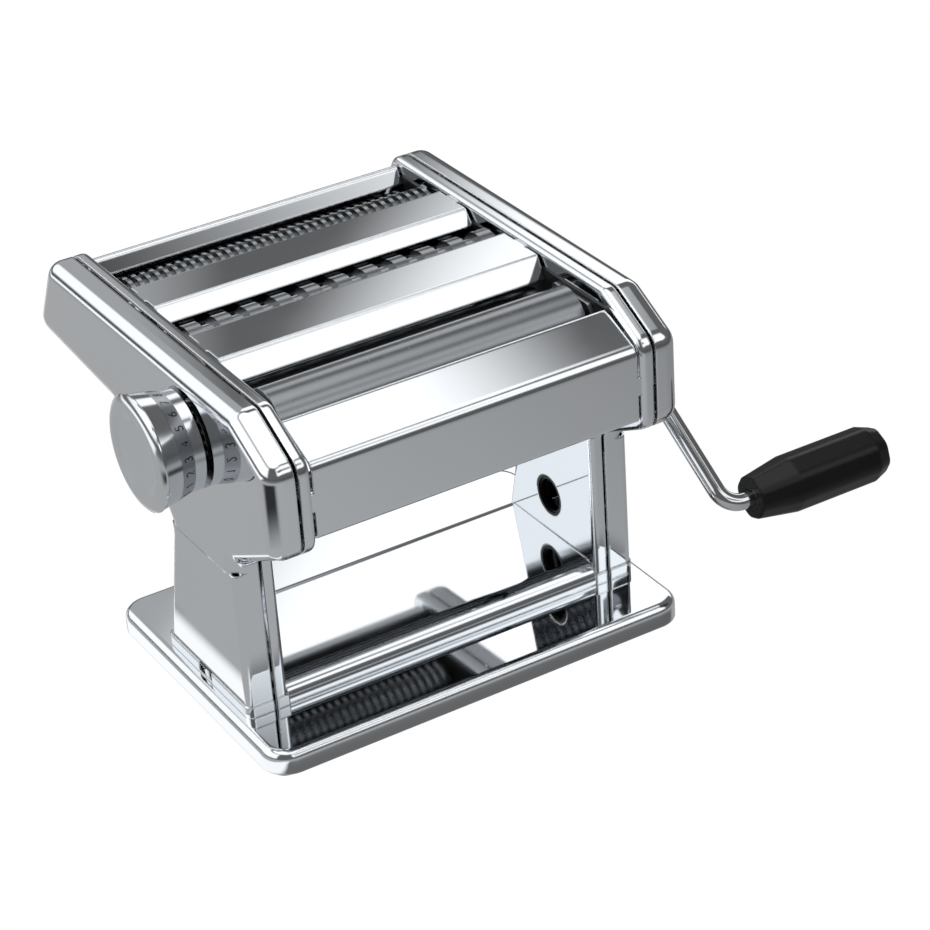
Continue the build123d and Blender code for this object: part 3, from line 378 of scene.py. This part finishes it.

# Painted shade: a dark field on the floor to the left of the nose, by the sine of the bearing and
# the distance from it
bearing_back = (0.45, 0.0)
bearing_front = (-0.98, -0.75)
nose_side = (0.0, -0.03)
nose_start = (0.180, 0.225)
nose_fade = (0.27, 0.40)
nose_shade = 0.93
from_nose_x = maths(floor_tree, "SUBTRACT", floor_x, nose_x)
from_nose_y = maths(floor_tree, "SUBTRACT", floor_y, nose_y)
from_nose = length(from_nose_x, from_nose_y)
bearing = maths(floor_tree, "DIVIDE", from_nose_y, from_nose)
painted_shade_by_nose = both(ramp(bearing, bearing_back), ramp(bearing, bearing_front))
painted_shade_by_nose = both(painted_shade_by_nose, ramp(from_nose_x, nose_side))
painted_shade_by_nose = both(painted_shade_by_nose, ramp(from_nose, nose_start, 0.0, nose_shade))
painted_shade_by_nose = both(painted_shade_by_nose, ramp(from_nose, nose_fade, 1.0, 0.0))

# Painted light: a bright field on the floor far to the left at the back
left_back_side = (-0.50, -0.62)
left_back_start = (0.08, 0.18)
left_back_light = 1.2
painted_light_left_back = both(ramp(floor_x, left_back_side, 0.0, left_back_light),
                 ramp(floor_y, left_back_start))

# Painted grey glow on the floor all round, darker to the right, in the painted shadows and painted
# shade, and far away
grey_side = (-0.05, 0.35)
grey_left = 0.44
grey_right = 0.28
grey_fade = (0.5, 1.2)
grey_far_share = 0.35
grey = ramp(floor_x, grey_side, grey_left, grey_right)
grey = both(grey, without(painted_shade_by_nose))
grey = both(grey, without(both(painted_shadow_in_front, front_shade)))
grey = both(grey, without(both(behind, behind_shade)))
grey = both(grey, ramp(length(floor_x, floor_y), grey_fade, 1.0, grey_far_share))

# Painted floor glow for all rays but the camera's: painted light and painted shadow, which the
# polished sheet reflects
painted_floor_glow = maths(floor_tree, "MAXIMUM", painted_light_near_left, maths(floor_tree, "MAXIMUM", painted_light_left_back, grey))
floor_shader = by_ray(floor_tree, glow(floor_tree, "ShaderNodeEmission", white),
                      glow(floor_tree, "ShaderNodeEmission", painted_floor_glow))
floor_output = floor_tree.nodes.new("ShaderNodeOutputMaterial")
floor_tree.links.new(floor_shader, floor_output.inputs["Surface"])
bpy.ops.mesh.primitive_plane_add(size=floor_size, location=(0.0, 0.0, floor_level))
floor = bpy.context.object
floor.name = "floor"
floor.data.materials.append(floor_material)

# Square soft lamp on the left, which faces the middle of the body
lamp_place = Vector((-1.5, 0.5, 1.0))
lamp_target = Vector((0.0, 0.0, 0.1))
lamp_side = 0.8
lamp_power = 3.0
lamp_data = bpy.data.lights.new("left lamp", "AREA")
lamp_data.shape = "RECTANGLE"
lamp_data.size = lamp_side
lamp_data.size_y = lamp_side
lamp_data.energy = lamp_power
lamp = bpy.data.objects.new("left lamp", lamp_data)
scene.collection.objects.link(lamp)
lamp.location = lamp_place
lamp.rotation_mode = "QUATERNION"
lamp.rotation_quaternion = (lamp_target - lamp_place).to_track_quat("-Z", "Y")

# The surround: azimuth from the back towards the right, and elevation, in degrees.
# On the slanted azimuth a card leans to one side, about the level given here
to_degrees = 180.0 / math.pi
lean_level = 27.4
lean_share = 0.85
world = bpy.data.worlds.new("studio")
scene.world = world
world.use_nodes = True
world_tree = world.node_tree
world_tree.nodes.clear()
direction = world_tree.nodes.new("ShaderNodeTexCoord").outputs["Generated"]
way_x, way_y, way_z = split(world_tree, direction)
azimuth = maths(world_tree, "MULTIPLY", maths(world_tree, "ARCTAN2", way_x, way_y), to_degrees)
elevation = maths(world_tree, "MULTIPLY", maths(world_tree, "ARCSINE", way_z), to_degrees)
above_level = maths(world_tree, "SUBTRACT", elevation, lean_level)
slanted = maths(world_tree, "ADD", azimuth, maths(world_tree, "MULTIPLY", above_level, lean_share))


def between(value, low, high, soft):
    """One between two limits and zero outside them, with soft edges."""
    return maths(world_tree, "MULTIPLY",
                 step(world_tree, value, low - soft, low + soft),
                 step(world_tree, value, high - soft, high + soft, 1.0, 0.0))


def card(sideways, az_low, az_high, az_soft, el_low, el_high, el_soft, strength):
    """Soft-edged card in the surround, on the azimuth or on a slanted form of it."""
    inside = between(sideways, az_low, az_high, az_soft)
    height = between(elevation, el_low, el_high, el_soft)
    return maths(world_tree, "MULTIPLY", maths(world_tree, "MULTIPLY", inside, height), strength)


# Bright cards: on the left, at the back, at the back on the right, in front in two pieces
# that meet at 180 degrees, and overhead
cards = [
    card(azimuth, -112.0, -4.0, 5.0, 10.0, 56.0, 4.0, 1.2),
    card(azimuth, -40.0, 24.2, 2.0, 10.0, 56.0, 4.0, 0.42),
    card(slanted, 27.5, 58.0, 3.0, 8.0, 48.0, 4.0, 1.3),
    card(azimuth, 129.0, 190.0, 6.0, 21.0, 56.0, 3.0, 1.3),
    card(azimuth, -190.0, -172.0, 6.0, 21.0, 56.0, 3.0, 1.3),
    card(azimuth, -190.0, 190.0, 1.0, 61.2, 100.0, 2.2, 1.35),
]

# Dim surround behind the cards, a little lighter higher up, and a dark flag before the front card
dim_rise = (0.0, 12.0)
dim_light = (0.10, 0.13)
surround = step(world_tree, elevation, *dim_rise, *dim_light)
for bright in cards:
    surround = maths(world_tree, "MAXIMUM", surround, bright)
flag = card(azimuth, 148.5, 186.0, 7.0, 34.5, 44.0, 2.0, 0.95)
surround = maths(world_tree, "MULTIPLY", surround, maths(world_tree, "SUBTRACT", 1.0, flag))
world_output = world_tree.nodes.new("ShaderNodeOutputWorld")
world_shader = by_ray(world_tree, glow(world_tree, "ShaderNodeBackground", white),
                      glow(world_tree, "ShaderNodeBackground", surround))
world_tree.links.new(world_shader, world_output.inputs["Surface"])

# Camera, at the photograph's angle
camera_data = bpy.data.cameras.new("camera")
camera_data.lens = 116.85
camera_data.sensor_width = 36.0
camera_data.clip_end = 50.0
camera = bpy.data.objects.new("camera", camera_data)
scene.collection.objects.link(camera)
camera.matrix_world = Matrix((
    (0.8509, 0.3078, -0.4256, -0.5107),
    (-0.5220, 0.4013, -0.7528, -0.9695),
    (-0.0607, 0.8622, 0.5020, 0.71285),
    (0.0, 0.0, 0.0, 1.0),
))
scene.camera = camera
scene.view_settings.view_transform = "Standard"
